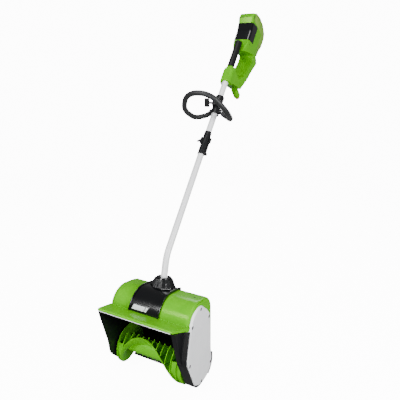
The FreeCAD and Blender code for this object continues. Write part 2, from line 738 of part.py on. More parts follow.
def make_motor():
    """Motor can with end bell, cooling slots and a cradle on the chute's ceiling."""
    x0 = half_width - seat - motor_long
    can = rod_x(x0, x0 + motor_long, motor_y, motor_z, motor_r)
    rims = [e for e in can.Edges if e.BoundBox.XLength < 1e-4]
    can = can.makeFillet(3.0, rims)
    for k in range(10):
        slot = box(x0 + 6, x0 + 22, -2, 2, motor_r - 3, motor_r + 4)
        slot.rotate(V(0, 0, 0), V(1, 0, 0), 36 * k)
        slot.translate(V(0, motor_y, motor_z))
        can = can.cut(slot)
    can = can.cut(rod_x(half_width - 20 - seat, half_width + 5, motor_y, motor_z, motor_shaft_r + run_gap))
    cradle = ring_x(x0 + 30, x0 + 66, motor_y, motor_z, motor_r + 4, motor_r + seat)
    feet = []
    for y in (motor_y - 30, motor_y + 22):
        feet.append(box(x0 + 30, x0 + 66, y - 3, y + 6, 100, motor_z - 12))
    for leg in feet:
        cradle = cradle.fuse(leg)
    cradle = cradle.cut(rod_x(x0 + 20, x0 + 80, motor_y, motor_z, motor_r + seat))
    ceiling = at_rotor(ceiling_angle, chute_r + chute_wall + seat)
    end = V(0, ceiling_end[0], ceiling_end[1])
    slope = end - at_rotor(ceiling_angle, chute_r)
    far = ceiling + slope
    under = Part.Face(Part.makePolygon([ceiling + slope * -0.2, far, V(0, far.y, 0), V(0, ceiling.y + 40, 0),
                                        ceiling + slope * -0.2]))
    cradle = cradle.cut(under.extrude(V(300, 0, 0)))
    return solid_of(can), solid_of(cradle)


def make_drive_case():
    """Black bowl behind the drive cover; below the green housing its rim stands out."""
    outer = band_slab(cover_band, -0.6, case_x0, case_x1)
    proud = band_slab(cover_band, rim, case_x0, rim_x1).common(below_split())
    proud = proud.cut(band_slab(cover_band, seat, case_x1, rim_x1 + 1))
    outer = outer.fuse(proud.common(box(0, 300, -400, 400, -50, lip_back_z - 16)))
    inner = band_slab(cover_band, -rim - 1.5, case_x0 + 2.5, case_x1 + 1)
    case = outer.cut(inner)
    case = case.cut(rod_x(case_x0 - 1, case_x0 + 5, rotor_y, rotor_z, bearing_r + 4.4))
    case = case.cut(rod_x(case_x0 - 1, case_x0 + 5, motor_y, motor_z, motor_shaft_r + 6))
    for wheel, turn in cover_screw_places():
        spot = screw_point(wheel, turn, screw_inset)
        case = case.fuse(rod_x(case_x0 + 1, case_x1 - seat, spot[0], spot[1], 5.5).common(outer))
        case = case.cut(rod_x(case_x1 - 12, case_x1 + 1, spot[0], spot[1], 2.2))
    return solid_of(case)


def cover_screw_places():
    """Screws round the drive cover: each near one circle of the outline, at an angle."""
    return [(cover_front, 72), (cover_front, 168), (cover_cheek, 212), (cover_foot, 262), (cover_heel, 350),
            (cover_rear, 15)]


def screw_point(wheel, turn, inset):
    a = math.radians(turn)
    return (wheel[0] + (wheel[2] - inset) * math.cos(a), wheel[1] + (wheel[2] - inset) * math.sin(a))


def make_cover():
    """White drive cover: a deep hollow dish with a bevel all round its flat face."""
    base = band_slab(cover_band, 0.0, case_x1 + seat, cover_x1 - 7.0)
    low = band(cover_band, 0.0, cover_x1 - 7.0)
    high = band(cover_band, -cover_bevel, cover_x1)
    cover = base.fuse(Part.makeLoft([low, high], True, True))
    cover = cover.cut(band_slab(cover_band, -cover_bevel - 3.0, case_x1 - 1, cover_x1 - 4.0))
    screws = []
    for wheel, turn in cover_screw_places():
        y, z = screw_point(wheel, turn, screw_inset)
        boss = rod_x(case_x1 + seat, cover_x1 - 3.5, y, z, 6.5).common(
            band_slab(cover_band, -0.5, case_x1, cover_x1 - 3.0))
        cover = cover.fuse(boss)
        cover = cover.cut(rod_x(case_x1 - 1, cover_x1 + 2, y, z, 2.2))
        cover = cover.cut(rod_x(cover_x1 - 2.8, cover_x1 + 2, y, z, 4.6))
        head = rod_x(cover_x1 - 2.6, cover_x1 - 0.4, y, z, 4.2)
        head = head.cut(box(cover_x1 - 1.4, cover_x1 + 1, y - 2.6, y + 2.6, z - 0.5, z + 0.5))
        screws.append(solid_of(head.fuse(rod_x(case_x1 - 9, cover_x1 - 2.5, y, z, 2.0))))
    return solid_of(cover), screws


def make_bearing_cap():
    """Domed cap over the left bearing."""
    x1 = -wall_out - 7.0 - seat
    cap = rod_x(x1 - 5, x1, rotor_y, rotor_z, bearing_r + 12)
    rims = [e for e in cap.Edges if e.BoundBox.XLength < 1e-4 and abs(e.BoundBox.XMin - (x1 - 5)) < 1e-4]
    cap = cap.makeFillet(3.5, rims)
    cap = cap.cut(rod_x(x1 - 1.5, x1 + 1, rotor_y, rotor_z, bearing_r))
    screws = []
    for k in range(3):
        a = math.radians(120 * k + 30)
        y = rotor_y + (bearing_r + 7) * math.cos(a)
        z = rotor_z + (bearing_r + 7) * math.sin(a)
        cap = cap.cut(rod_x(x1 - 8, x1 + 1, y, z, 2.2))
        head = rod_x(x1 - 7.2, x1 - 5 - 0.1, y, z, 3.8)
        screws.append(head.fuse(rod_x(x1 - 5.2, x1 - 0.2, y, z, 2.0)))
    return solid_of(cap), screws


# ------------------------------------------------------------------------------ shaft --
def make_lower_tube():
    """Bent lower tube: a stub in the socket, one bend, and the straight shaft."""
    start = bend - stub_dir * (socket_foot + stub_depth - 4.0)
    end = bend + shaft_dir * lower_tube_top
    edges = run_with_bends([start, bend, end], [bend_radius])
    return solid_of(round_bar(edges, tube_r).cut(round_bar(edges, tube_r - tube_wall)))


def make_upper_tube():
    tube = Part.makeCylinder(tube_r, upper_tube_top - lower_tube_top - tube_joint_gap,
                             V(0, 0, lower_tube_top + tube_joint_gap))
    tube = tube.cut(Part.makeCylinder(tube_r - tube_wall, 800, V(0, 0, lower_tube_top - 5)))
    return on_shaft(tube)


def make_coupler():
    """Split sleeve that joins the tubes, with clamp ears, wing knob and locking lever."""
    length = coupler_high - coupler_low
    sleeve = Part.makeCylinder(coupler_r, length, V(0, 0, coupler_low))
    rims = [e for e in sleeve.Edges if e.BoundBox.ZLength < 1e-4]
    sleeve = sleeve.makeFillet(1.2, rims)
    ears = box(-coupler_r - 7, 0, -8, 8, coupler_knob_a - 14, coupler_knob_a + 14)
    ears = ears.makeFillet(3.0, [e for e in ears.Edges if abs(e.BoundBox.XMax + coupler_r + 7) < 1e-4])
    sleeve = sleeve.fuse(ears)
    for z in (coupler_low + 20, coupler_high - 20, coupler_high - 32):
        groove = Part.makeCylinder(coupler_r + 5, 2.0, V(0, 0, z))
        groove = groove.cut(Part.makeCylinder(coupler_r - 0.8, 4.0, V(0, 0, z - 1)))
        sleeve = sleeve.cut(groove)
    hinge_z = coupler_low + 6
    lugs = box(coupler_r - 3, coupler_r + 9, -7, 7, hinge_z - 6, hinge_z + 6)
    lugs = lugs.cut(box(coupler_r - 0.2, coupler_r + 12, -4.2, 4.2, hinge_z - 10, hinge_z + 10))
    sleeve = sleeve.fuse(lugs)
    sleeve = sleeve.cut(Part.makeCylinder(tube_r + run_gap, 300, V(0, 0, coupler_low - 50)))
    slit = box(-coupler_r - 20, 0, -1.0, 1.0, coupler_knob_a - 16, coupler_high + 5)
    sleeve = sleeve.cut(slit)
    knob_z = coupler_knob_a
    sleeve = sleeve.cut(rod(V(-coupler_r - 30, 0, knob_z), V(1, 0, 0), 3.0 + run_gap, 30 + coupler_r - tube_r))
    pin_hole = rod(V(coupler_r + 5, -20, hinge_z), V(0, 1, 0), 2.0, 40)
    sleeve = sleeve.cut(pin_hole)
    return on_shaft(solid_of(sleeve))


def make_coupler_knob():
    """Wing knob on the coupler's clamp screw."""
    knob_z = coupler_knob_a
    x_face = -coupler_r - 7 - seat
    hub = rod(V(x_face - 3, 0, knob_z), V(1, 0, 0), 6.5, 3)
    wing = box(x_face - 11, x_face - 1, -2.6, 2.6, knob_z - 16, knob_z + 16)
    wing = wing.makeFillet(3.0, [e for e in wing.Edges if e.BoundBox.YLength > 4])
    stud = rod(V(x_face - 4, 0, knob_z), V(1, 0, 0), 3.0, 4 + seat + 7 + coupler_r - tube_r - 1)
    knob = solid_of(hub.fuse(wing).fuse(stud))
    knob.rotate(V(0, 0, knob_z), V(1, 0, 0), -45)
    return on_shaft(knob)


def make_coupler_lever():
    """Over-centre lever along the coupler's drive side, with a thumb tab."""
    hinge_z = coupler_low + 6
    x0 = coupler_r + seat
    arm = box(x0 + 0.6, x0 + 4.6, -3.8, 3.8, hinge_z, coupler_low + 62)
    eye = rod(V(coupler_r + 5, -3.8, hinge_z), V(0, 1, 0), 4.6, 7.6)
    tab = box(x0 + 2.0, x0 + 8.5, -5.5, 5.5, coupler_low + 58, coupler_low + 82)
    tab = tab.makeFillet(2.0, tab.Edges)
    lever = arm.fuse(eye).fuse(tab)
    lever = lever.cut(rod(V(coupler_r + 5, -20, hinge_z), V(0, 1, 0), 2.0 + run_gap, 40))
    pin = rod(V(coupler_r + 5, -7.0, hinge_z), V(0, 1, 0), 2.0 - 0.01, 14.0)
    return on_shaft(solid_of(lever)), on_shaft(pin)


# ------------------------------------------------------------------------ loop handle --
def loop_points(start_x):
    """Control points of the loop in shaft space, from one side of its clamp to the other."""
    w = loop_half_width
    right = [V(start_x, pivot_n, pivot_a), V(w * 0.47, pivot_n + 18, pivot_a - 9),
             V(w * 0.86, pivot_n - 6, pivot_a - 42), V(w, pivot_n - 95, pivot_a - loop_drop),
             V(w * 0.52, -loop_reach, pivot_a - loop_drop + 17)]
    return right + [V(-p.x, p.y, p.z) for p in reversed(right)]


def make_loop(radius, start_x):
    """A round bar along straight runs with arcs as large as the runs allow."""
    pts = loop_points(start_x)
    radii = []
    for i in range(1, len(pts) - 1):
        before = pts[i - 1] - pts[i]
        after = pts[i + 1] - pts[i]
        run = min(before.Length, after.Length)
        radii.append(0.46 * run * math.tan(before.getAngle(after) / 2.0))
    return round_bar(run_with_bends(pts, radii), radius)


def make_loop_handle():
    """Bar with two straight stubs in the clamp's bosses, inside a foam sleeve."""
    stub_in = tube_r + 1.5
    sweep_x = 16.0
    middle = box(-foam_start, foam_start, -60, 60, pivot_a - 60, pivot_a + 60)
    core = make_loop(loop_core_r, sweep_x).cut(middle)
    for side in (-1, 1):
        core = core.fuse(rod(V(side * stub_in, pivot_n, pivot_a), V(side, 0, 0), loop_core_r, foam_start + 5 - stub_in))
    foam = make_loop(foam_r, sweep_x).cut(middle)
    return on_shaft(solid_of(core)), on_shaft(solid_of(foam.cut(core)))


def make_clamp():
    """Clamp in two halves round the shaft, with bosses for the loop and ears for the cross bolt."""
    low = pivot_a - 17
    high = low + clamp_long
    body = Part.makeCylinder(clamp_r, clamp_long, V(0, 0, low))
    ears = box(-ear_half, ear_half, bolt_n - 8, 0, bolt_a - 13, bolt_a + 13)
    ears = ears.makeFillet(6.0, [e for e in ears.Edges if abs(e.BoundBox.YMax - bolt_n + 8) < 1e-4
                                 and e.BoundBox.XLength > 1])
    body = body.fuse(ears)
    body = body.fuse(rod(V(-foam_start + seat, pivot_n, pivot_a), V(1, 0, 0), loop_core_r + 4.5,
                         2 * (foam_start - seat)))
    body = body.cut(Part.makeCylinder(tube_r + run_gap, 400, V(0, 0, low - 100)))
    body = body.cut(rod(V(-60, pivot_n, pivot_a), V(1, 0, 0), loop_core_r + run_gap, 120))
    body = body.cut(rod(V(-60, bolt_n, bolt_a), V(1, 0, 0), bolt_r + run_gap, 120))
    halves = []
    for side in (-1, 1):
        x0, x1 = sorted((side * 0.6, side * 60))
        halves.append(on_shaft(solid_of(body.common(box(x0, x1, -60, 60, low - 5, high + 5)))))
    return halves


def make_clamp_knob():
    """T knob whose bolt runs through both clamp halves into a nut."""
    x_face = -ear_half - seat
    bolt = rod(V(x_face - 20, bolt_n, bolt_a), V(1, 0, 0), bolt_r, 20 + 2 * ear_half + 7)
    neck = rod(V(x_face - 20, bolt_n, bolt_a), V(1, 0, 0), 5.0, 20)
    bar = box(x_face - 37, x_face - 19, bolt_n - 6.5, bolt_n + 6.5, bolt_a - 19, bolt_a + 19)
    bar = bar.makeFillet(5.0, [e for e in bar.Edges if e.BoundBox.XLength > 10])
    knob = solid_of(bar.fuse(neck).fuse(bolt))
    knob.rotate(V(0, bolt_n, bolt_a), V(1, 0, 0), 44)
    nut = Part.makePolygon([V(ear_half + seat, bolt_n + 7 * math.cos(math.radians(60 * k)),
                              bolt_a + 7 * math.sin(math.radians(60 * k))) for k in range(7)])
    nut = Part.Face(nut).extrude(V(5, 0, 0)).cut(rod(V(0, bolt_n, bolt_a), V(1, 0, 0), bolt_r + run_gap, 60))
    return on_shaft(knob), on_shaft(nut)


# ------------------------------------------------------------------------- power unit --
def unit_outline():
    """Head of the power unit, behind and above the grip; (back, up the shaft, radius)."""
    return rounded([(-12, 1070, 8), (13, 1092, 12), (13, 1148, 30), (1, 1187, 12), (-15, 1211, 6),
                    (-11, 1236, 8), (bay_front, 1262, 10), (bay_front, bay_floor(bay_front)),
                    (bay_back, bay_floor(bay_back)), (bay_back, 1124), (164, 1118, 4), (190, 1104, 6),
                    (152, 1003, 80), (131, 925, 14), (122, 889, 14), (24, 841, 12), (20, 827, 6), (-18, 827, 9),
                    (-20, 900, 9), (-grip_r + 2, 912, 2), (-grip_r + 2, 1064, 2)])


def bay_floor(n):
    """Height of the battery bay's sloping floor at n."""
    return bay_low + (n - bay_front) * bay_slope


def opening_outline(x, inset):
    """The hand opening behind the grip at X = x, its far sides drawn in by inset."""
    i = inset
    return rounded([(core_r - 1, 905, 6), (72 - i, 899 + i, 16), (104 - i, 950, 20), (129 - i, 1064, 30),
                    (126 - i, 1103 - i, 10), (24, 1036 - i / 2, 8), (core_r - 1, 1030 - i / 2, 3)], x)


def opening_space():
    """The opening through the whole unit: its edges flare out so that the hand meets no sharp rim."""
    flare = unit_half - opening_flat
    space = slab(opening_outline(0.0, opening_inset), -opening_flat, opening_flat)
    for side in (-1, 1):
        inner = opening_outline(side * opening_flat, opening_inset)
        outer = opening_outline(side * (opening_flat + flare + 2), 0.0)
        space = space.fuse(Part.makeLoft([inner, outer], True, True))
    return space


def side_profile():
    """Half thickness of the unit along the shaft, seen from the front."""
    return Part.Face(Part.makePolygon([V(-lobe_r, -100, 820), V(-lobe_r, -100, 900), V(-unit_half, -100, 990),
                                       V(-unit_half, -100, 1262), V(-unit_half + 6, -100, 1310),
                                       V(unit_half - 6, -100, 1310), V(unit_half, -100, 1262),
                                       V(unit_half, -100, 990), V(lobe_r, -100, 900), V(lobe_r, -100, 820),
                                       V(-lobe_r, -100, 820)])).extrude(V(0, 400, 0))


def neck_space():
    """The space round the grip that belongs to its sleeve, and what the rounded lobe leaves free."""
    block = box(-60, 60, -60, grip_r + 4, grip_low, 1100)
    keep = Part.makeCylinder(core_r, 400, V(0, 0, 880))
    collar = Part.makeLoft([rounded_plan(grip_r + 3, -grip_r - 3, grip_r + 3, 14, grip_high),
                            rounded_plan(unit_half, 12, 60, 10, 1100)], True, False)
    profile = rounded([(0, 820), (lobe_r - 1, 820), (lobe_r, 850, 40), (lobe_r, 888, 22), (grip_r, grip_low + 1),
                       (0, grip_low + 1)])
    lobe = Part.Face(profile).revolve(V(0, 0, 0), V(0, 0, 1), 360)
    front = box(-60, 60, -60, 0, 800, grip_low + 1)
    return block.cut(keep).cut(collar).fuse(front.cut(lobe))


def rounded_plan(half, n0, n1, radius, a):
    """Rounded rectangle across the shaft at height a, X +-half and n from n0 to n1."""
    h = half - radius
    lo = n0 + radius
    hi = n1 - radius
    d = radius * math.sqrt(0.5)
    edges = []
    corners = [(h, hi, 1, 1), (-h, hi, -1, 1), (-h, lo, -1, -1), (h, lo, 1, -1)]
    starts = []
    ends = []
    for x, y, sx, sy in corners:
        if sx * sy > 0:
            starts.append(V(x + sx * radius, y, a))
            ends.append(V(x, y + sy * radius, a))
        else:
            starts.append(V(x, y + sy * radius, a))
            ends.append(V(x + sx * radius, y, a))
    for i, (x, y, sx, sy) in enumerate(corners):
        edges.append(Part.Arc(starts[i], V(x + sx * d, y + sy * d, a), ends[i]).toShape())
        edges.append(Part.LineSegment(ends[i], starts[(i + 1) % 4]).toShape())
    return Part.Wire(edges)


def shoulder(side):
    """What the head loses beside the grip's top: a slope that fades out towards the back."""
    ends = []
    for n in (-30.0, 104.0):
        half = shoulder_half + shoulder_fade * (n - grip_r)
        low = V(side * (half - shoulder_widen * 30), n, shoulder_low - 30)
        ends.append(Part.makePolygon([low, V(side * 60, n, low.z),
                                      V(side * 60, n, shoulder_low + (60 - half) / shoulder_widen), low]))
    return Part.makeLoft(ends, True, True)


def head_rims(solid, x):
    """Edges of the unit's front and top, on one of its two sides."""
    found = []
    for edge in solid.Edges:
        b = edge.BoundBox
        flat = abs(b.XMin - x) < 1e-4 and abs(b.XMax - x) < 1e-4
        if flat and b.ZMin > 1090 and b.YMax < bay_front + 1:
            found.append(edge)
    return found


def make_unit_body():
    """The whole green body before it is split into two shells."""
    body = slab(unit_outline(), -unit_half, unit_half)
    body = body.makeFillet(edge_round, head_rims(body, -unit_half) + head_rims(body, unit_half))
    body = body.cut(opening_space())
    body = body.common(side_profile())
    body = body.cut(neck_space())
    body = body.cut(shoulder(-1)).cut(shoulder(1))
    body = body.cut(Part.makeCylinder(tube_r, upper_tube_top - 700 + 1, V(0, 0, 700)))
    body = body.cut(box(-trigger_half - 0.6, trigger_half + 0.6, -9, 40, trigger_low - 6, trigger_pivot_a + 10).common(
        Part.makeCylinder(core_r + 2, 400, V(0, 0, 800))))
    body = body.cut(rod(V(-10, trigger_pivot_n, trigger_pivot_a), V(1, 0, 0), 2.0, 20))
    body = body.cut(rod(V(-unit_half - 1, lock_n, lock_a), V(1, 0, 0), lock_r + 0.3, 13))
    for z in (1214, 1226):
        body = body.cut(box(-22, 22, -40, -9, z, z + 4))
    return body


def make_handle_shells():
    body = make_unit_body()
    for n, a in shell_screws():
        body = body.cut(rod(V(side_half(a) - 7, n, a), V(1, 0, 0), screw_r + 0.8, 40))
        body = body.cut(rod(V(0, n, a), V(1, 0, 0), 1.8, 60))
    left = body.common(box(-200, 0, -200, 400, 700, 1500))
    right = body.common(box(0, 200, -200, 400, 700, 1500))
    return on_shaft(solid_of(left)), on_shaft(solid_of(right))


def shell_screws():
    """Places of the shell screws on the right shell, (back, up the shaft)."""
    return [(136, 1012), (150, 1098), (40, 1090), (98, 905)]


def make_handle_screws():
    screws = []
    for n, a in shell_screws():
        x = side_half(a) - 7 + 0.1
        head = rod(V(x, n, a), V(1, 0, 0), screw_r, 3)
        screws.append(on_shaft(head.fuse(rod(V(4, n, a), V(1, 0, 0), 1.75, x - 3))))
    return screws


def side_half(a):
    return unit_half if a > 990 else lobe_r + (unit_half - lobe_r) * max(0.0, (a - 900) / 90.0)


def make_front_panel():
    """Gloss black panel that wraps the head's front and both sides."""
    front = 13 - panel_thick
    block = slab(rounded([(front, 1040), (70, 1040), (70, 1240), (1 - panel_thick - 15, 1240),
                          (1 - panel_thick, 1188, 12), (front, 1148, 30)]),
                 -unit_half - panel_thick, unit_half + panel_thick)
    rims = [e for e in block.Edges if abs(abs(e.BoundBox.XMin) - unit_half - panel_thick) < 1e-4
            and e.BoundBox.XLength < 1e-4 and e.BoundBox.YMax < 14]
    block = block.makeFillet(edge_round + panel_thick, rims)
    region = slab(rounded([(-60, 1187), (0, 1187, 6), (66, 1221, 7), (66, 1118, 8), (20, 1096, 14),
                           (-60, 1082)]), -100, 100)
    core = slab(unit_outline(), -unit_half, unit_half)
    core = core.makeFillet(edge_round, head_rims(core, -unit_half) + head_rims(core, unit_half))
    return on_shaft(solid_of(block.common(region).cut(core)))


def make_grip_sleeve():
    """Soft black sleeve over the grip, oval, with an opening for the trigger."""
    ring = Part.Face(Part.Wire([Part.Ellipse(V(0, 0, grip_low), grip_r + 1.0, grip_r - 0.5).toShape()]))
    sleeve = ring.extrude(V(0, 0, grip_high - grip_low))
    sleeve.rotate(V(0, 0, 0), V(0, 0, 1), 90)
    sleeve = sleeve.cut(Part.makeCylinder(core_r, 400, V(0, 0, 800)))
    sleeve = sleeve.cut(box(-trigger_half - 0.6, trigger_half + 0.6, 2, 40, trigger_low - 6, trigger_pivot_a + 10))
    return on_shaft(solid_of(sleeve))


def make_trigger():
    """Trigger on the back of the grip, hinged at its upper end on a pin."""
    n = trigger_pivot_n
    a = trigger_pivot_a
    outline = rounded([(n - 4, a + 4, 3), (n + 5, a + 4, 3), (n + 19, a - 14, 8), (n + 20, a - 36, 12),
                       (n + 16, trigger_low, 3), (n - 2, trigger_low, 2)])
    lever = slab(outline, -trigger_half, trigger_half)
    lever = lever.cut(rod(V(-20, n, a), V(1, 0, 0), 2.0 + run_gap, 40))
    pin = rod(V(-10, n, a), V(1, 0, 0), 2.0, 20)
    return on_shaft(solid_of(lever)), on_shaft(pin)


def make_lock_button():
    button = rod(V(-unit_half - 3, lock_n, lock_a), V(1, 0, 0), lock_r, 9)
    rim = [e for e in button.Edges if e.BoundBox.XLength < 1e-4 and abs(e.BoundBox.XMin + unit_half + 3) < 1e-4]
    return on_shaft(button.makeFillet(1.5, rim))


def along_bay(shape, distance):
    """A shape moved along the bay's floor, the way the battery slides out."""
    moved = shape.copy()
    run = V(0, 1, bay_slope)
    run.normalize()
    moved.translate(run * distance)
    return moved


def make_battery():
    """Battery pack that slides forward along the bay's floor onto its terminals."""
    f = bay_front + seat
    b = bay_back + seat
    outline = rounded([(f, bay_floor(f) + seat, 2), (b, bay_floor(b) + seat), (b, 1124 + 1.5, 2), (160, 1126, 4),
                       (163, 1160, 6), (180, 1205, 12), (182, 1258, 20), (170, 1288, 12), (121, 1299, 16),
                       (68, 1289, 20), (f, 1263, 6)])
    half = unit_half - 1.0
    pack = slab(outline, -half, half)
    rims = [e for e in pack.Edges if e.BoundBox.XLength < 1e-4]
    pack = pack.makeFillet(5.0, [e for e in rims if e.BoundBox.ZMax > 1262.0 and e.BoundBox.YMin > f + 0.5])
    blades = []
    for k in range(4):
        x = -18 + 12 * k
        slot = box(x - 1.4, x + 1.4, f - 1, f + 14, 1216, 1236)
        pack = pack.cut(slot)
        blades.append(on_shaft(box(x - 0.6, x + 0.6, bay_front, bay_front + 9, 1220, 1230)))
    for side in (-1, 1):
        for k in range(4):
            groove = box(-1.5, 1.5, 146, 166, 0, 3.0)
            groove.translate(V(side * half, 0, 1142 + 13 * k))
            pack = pack.cut(groove)
    pack = pack.cut(box(-11 - seat, 11 + seat, 174, 200, 1220 - seat, 1248 + seat))
    return on_shaft(solid_of(pack)), blades


def make_battery_release():
    """Push button in the pack's back."""
    button = box(-11, 11, 176.5, 184.5, 1220, 1248)
    button = button.makeFillet(2.0, [e for e in button.Edges if abs(e.BoundBox.YMin - 184.5) < 1e-4])
    return on_shaft(button)


def make_pod():
    """Round pod under the back end of the lower strut, with a push button in its end."""
    pod = rod(V(pod_x, 96, pod_a), V(0, 1, 0), pod_r, pod_end - 96)
    rims = [e for e in pod.Edges if abs(e.BoundBox.YMin - pod_end) < 1e-4 and e.BoundBox.YLength < 1e-4]
    pod = pod.makeFillet(4.0, rims)
    pod = pod.cut(slab(unit_outline(), -100, 100))
    pod = pod.cut(rod(V(pod_x, pod_end - 9, pod_a), V(0, 1, 0), pod_button_r + seat, 20))
    button = rod(V(pod_x, pod_end - 5, pod_a), V(0, 1, 0), pod_button_r, 5 + pod_button_out)
    rims = [e for e in button.Edges if abs(e.BoundBox.YMin - (pod_end + pod_button_out)) < 1e-4]
    button = button.makeFillet(4.0, rims)
    return on_shaft(solid_of(pod)), on_shaft(button)


if __name__ == "__main__":
    os.makedirs("parts", exist_ok=True)
    export(make_chute(), "chute")
    export(make_side_wall(-1), "side_wall_left")
    export(make_side_wall(1), "side_wall_right")
    blade, blade_screws = make_scraper()
    export(blade, "scraper_blade")
    export(blade_screws, "scraper_screws")
    export(make_housing(), "upper_housing")
    export(make_saddle(), "motor_cover")
    lens, board = make_lamp()
    export(lens, "headlamp_lens")
    export(board, "headlamp_board")
    export(make_socket(), "shaft_socket")

    rotor, paddles = make_rotor()
    export(rotor, "rotor_core")
    export(paddles, "rotor_paddles")
    shaft, nut = make_rotor_shaft()
    export(shaft, "rotor_shaft")
    export(nut, "rotor_nut")
    export([make_bearing(half_width + 1.2), make_bearing(-half_width - 1.2 - bearing_wide)], "rotor_bearings")
    export(make_pulley(rotor_y, rotor_z, large_pulley_r, shaft_r, pulley_x0), "rotor_pulley")
    cap, cap_screws = make_bearing_cap()
    export(cap, "bearing_cap")
    export(cap_screws, "bearing_cap_screws")

    can, cradle = make_motor()
    export(can, "motor")
    export(cradle, "motor_bracket")
    export(rod_x(half_width - 20, pulley_x0 + 17, motor_y, motor_z, motor_shaft_r), "motor_shaft")
    export(make_pulley(motor_y, motor_z, small_pulley_r, motor_shaft_r, pulley_x0), "motor_pulley")
    export(make_belt(), "drive_belt")
    export(make_drive_case(), "drive_case")
    cover, cover_screws = make_cover()
    export(cover, "drive_cover")
    export(cover_screws, "cover_screws")

    export(make_lower_tube(), "lower_tube")
    export(make_coupler(), "coupler_sleeve")
    export(make_coupler_knob(), "coupler_knob")
    lever, lever_pin = make_coupler_lever()
    export(lever, "coupler_lever")
    export(lever_pin, "lever_pin")
    export(make_upper_tube(), "upper_tube")

    loop_bar, foam = make_loop_handle()
    export(loop_bar, "loop_bar")
    export(foam, "loop_grip")
    clamp_left, clamp_right = make_clamp()
    export(clamp_left, "handle_clamp_left")
    export(clamp_right, "handle_clamp_right")
    knob, knob_nut = make_clamp_knob()
    export(knob, "handle_knob")
    export(knob_nut, "handle_nut")

    shell_left, shell_right = make_handle_shells()
    export(shell_left, "handle_shell_left")
    export(shell_right, "handle_shell_right")
    export(make_handle_screws(), "handle_screws")
    export(make_front_panel(), "front_panel")
    export(make_grip_sleeve(), "grip_sleeve")
    trigger, trigger_pin = make_trigger()
    export(trigger, "trigger")
    export(trigger_pin, "trigger_pin")
    export(make_lock_button(), "lock_button")
    battery, blades = make_battery()
    export(battery, "battery_pack")
    export(blades, "battery_terminals")
    export(make_battery_release(), "battery_release")
    pod, pod_button = make_pod()
    export(pod, "power_pod")
    export(pod_button, "power_button")
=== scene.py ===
import math

import bpy
import numpy as np
from mathutils import Matrix, Vector


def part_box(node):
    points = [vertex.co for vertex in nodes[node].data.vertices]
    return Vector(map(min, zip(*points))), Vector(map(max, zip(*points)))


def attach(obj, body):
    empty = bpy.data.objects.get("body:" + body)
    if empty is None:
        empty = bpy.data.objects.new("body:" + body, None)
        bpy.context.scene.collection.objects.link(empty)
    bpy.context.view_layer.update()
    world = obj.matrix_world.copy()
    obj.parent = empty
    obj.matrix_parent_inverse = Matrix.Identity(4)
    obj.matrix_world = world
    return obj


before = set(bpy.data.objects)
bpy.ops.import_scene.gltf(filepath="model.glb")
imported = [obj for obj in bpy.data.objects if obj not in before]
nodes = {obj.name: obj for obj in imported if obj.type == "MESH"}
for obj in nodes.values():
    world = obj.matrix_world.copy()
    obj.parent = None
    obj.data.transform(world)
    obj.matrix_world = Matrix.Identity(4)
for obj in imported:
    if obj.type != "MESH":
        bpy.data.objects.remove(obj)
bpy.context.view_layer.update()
print("frame loaded:", len(nodes), "nodes")


def linearColour(hexText):
    # sRGB hex value to linear red, green, blue: a short straight foot, then a power curve
    parts = [int(hexText[i:i + 2], 16) / 255 for i in (1, 3, 5)]
    linear = [p / 12.92 if p <= 0.04045 else ((p + 0.055) / 1.055) ** 2.4 for p in parts]
    return (*linear, 1.0)


def addNode(tree, kind, settings=None, links=None):
    # adds one node, sets its properties or sockets, and links sockets from other nodes
    node = tree.nodes.new(kind)
    for key, value in (settings or {}).items():
        if hasattr(node, key):
            setattr(node, key, value)
        else:
            node.inputs[key].default_value = value
    for key, source in (links or {}).items():
        tree.links.new(source, node.inputs[key])
    return node


def newMaterial(name, surface):
    # an empty material with one Principled shader, set from a dictionary of socket values
    material = bpy.data.materials.new(name)
    material.use_nodes = True
    tree = material.node_tree
    tree.nodes.clear()
    shader = addNode(tree, "ShaderNodeBsdfPrincipled", surface)
    addNode(tree, "ShaderNodeOutputMaterial", links={"Surface": shader.outputs["BSDF"]})
    return material, tree, shader


texture = {"grainDetail": 2.0, "bumpStrength": 0.35, "cloudMm": 45.0, "cloudDetail": 3.0}


def grain(tree, shader, grainMm, heightMm, roughness, spread):
    # fine noise of the given grain size drives bump; clouds a few centimetres wide move the
    # roughness by the spread, as handling does. Moulded, brushed and rolled grains are really
    # 0.1 to 0.3 mm, and are drawn at 0.6 mm or more so that they show
    place = addNode(tree, "ShaderNodeTexCoord")
    spot = {"Vector": place.outputs["Object"]}
    noise = addNode(tree, "ShaderNodeTexNoise",
                    {"Scale": 1000 / grainMm, "Detail": texture["grainDetail"]}, spot)
    bump = addNode(tree, "ShaderNodeBump",
                   {"Strength": texture["bumpStrength"], "Distance": heightMm / 1000},
                   {"Height": noise.outputs["Fac"]})
    tree.links.new(bump.outputs["Normal"], shader.inputs["Normal"])
    cloud = addNode(tree, "ShaderNodeTexNoise",
                    {"Scale": 1000 / texture["cloudMm"], "Detail": texture["cloudDetail"]}, spot)
    level = addNode(tree, "ShaderNodeMapRange",
                    {"To Min": roughness - spread, "To Max": roughness + spread},
                    {"Value": cloud.outputs["Fac"]})
    tree.links.new(level.outputs["Result"], shader.inputs["Roughness"])
    return spot


